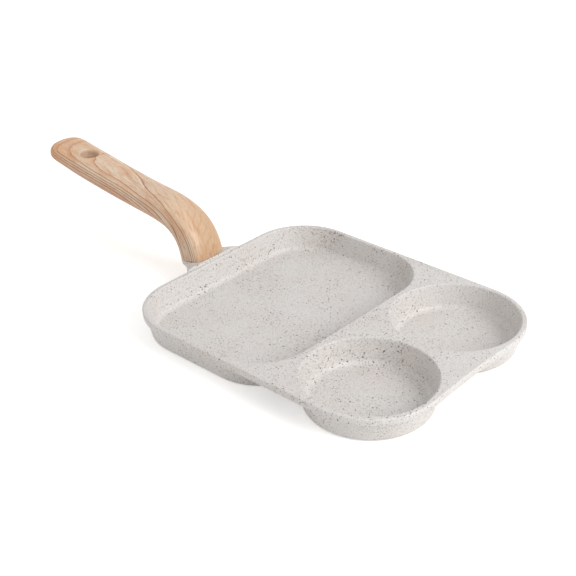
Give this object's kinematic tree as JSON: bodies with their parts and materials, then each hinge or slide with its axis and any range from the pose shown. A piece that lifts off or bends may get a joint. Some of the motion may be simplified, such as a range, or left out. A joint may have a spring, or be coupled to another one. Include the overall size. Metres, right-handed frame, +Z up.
{
  "type": "divided frying pan",
  "caption": "Flat cast frying pan divided into a large rounded compartment and a pair of round cups, with a bent wooden handle on a cast neck and a hanging hole.",
  "frame": {"origin": "centre of the large compartment's underside, on the surface that the pan stands on", "axes": "+Z up; the cups lie at +X and the handle points to -X; the object is the same on both sides of the XZ plane"},
  "size_m": [0.4121, 0.1936, 0.0726],
  "materials": {
    "coating": "satin speckled non-stick coating on die-cast aluminium",
    "wood": "satin lacquered pale ash",
    "brass": "turned",
    "steel": "plain stainless"
  },
  "bodies": {
    "root": {"pan_body": "coating", "handle": "wood", "thread_insert": "brass", "handle_screw": "steel", "flat_washer": "steel", "spring_washer": "steel"}
  },
  "joints": []
}
